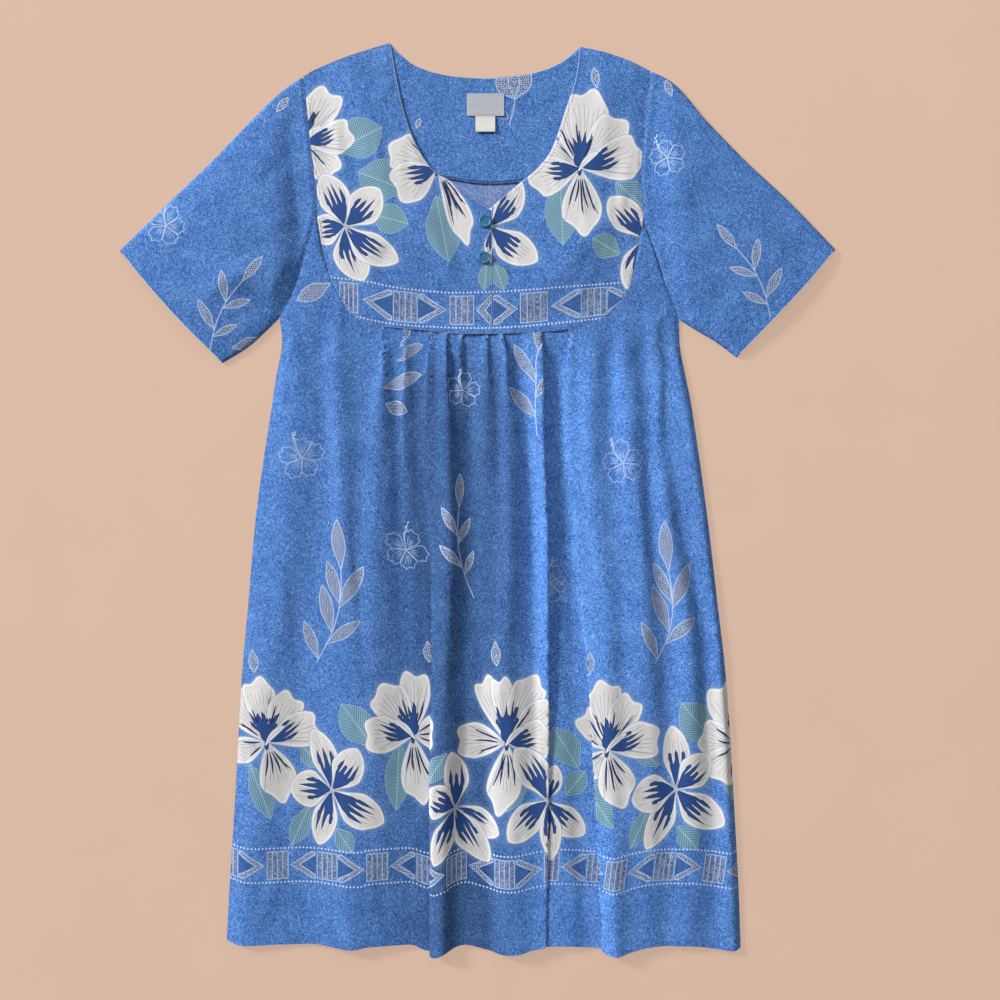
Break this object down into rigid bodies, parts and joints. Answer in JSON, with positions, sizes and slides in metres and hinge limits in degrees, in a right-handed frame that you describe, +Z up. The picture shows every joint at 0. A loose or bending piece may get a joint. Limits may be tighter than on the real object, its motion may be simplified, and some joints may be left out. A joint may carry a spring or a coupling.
{
  "type": "muumuu dress",
  "caption": "Loose short-sleeved muumuu dress lying flat: curved yoke with scoop and V neck, buttoned front, pleated A-line front, blue cloth with white hibiscus and plumeria border.",
  "frame": {"origin": "on the surface that the dress lies on, under the middle of its outline", "axes": "+Y from hem to neck, +X to the right of someone looking at the front, +Z up from the surface"},
  "size_m": [0.875, 1.1165, 0.0162],
  "materials": {
    "printed_cloth": "soft plain-weave cotton and rayon, mottled blue print with white flowers",
    "cloth_wrong_side": "paler wrong side of the same cloth",
    "button": "dyed, softly polished",
    "label": "woven satin ribbon",
    "size_tab": "woven ribbon, folded"
  },
  "bodies": {
    "root": {"back_left": "printed_cloth", "back_right": "printed_cloth", "back_neck_facing": "printed_cloth", "yoke_left": "printed_cloth", "yoke_right": "printed_cloth", "front_skirt": "printed_cloth", "sleeve_left": "printed_cloth", "sleeve_right": "printed_cloth", "neck_label": "label", "size_tab": "size_tab", "button_upper": "button", "button_lower": "button"}
  },
  "joints": []
}
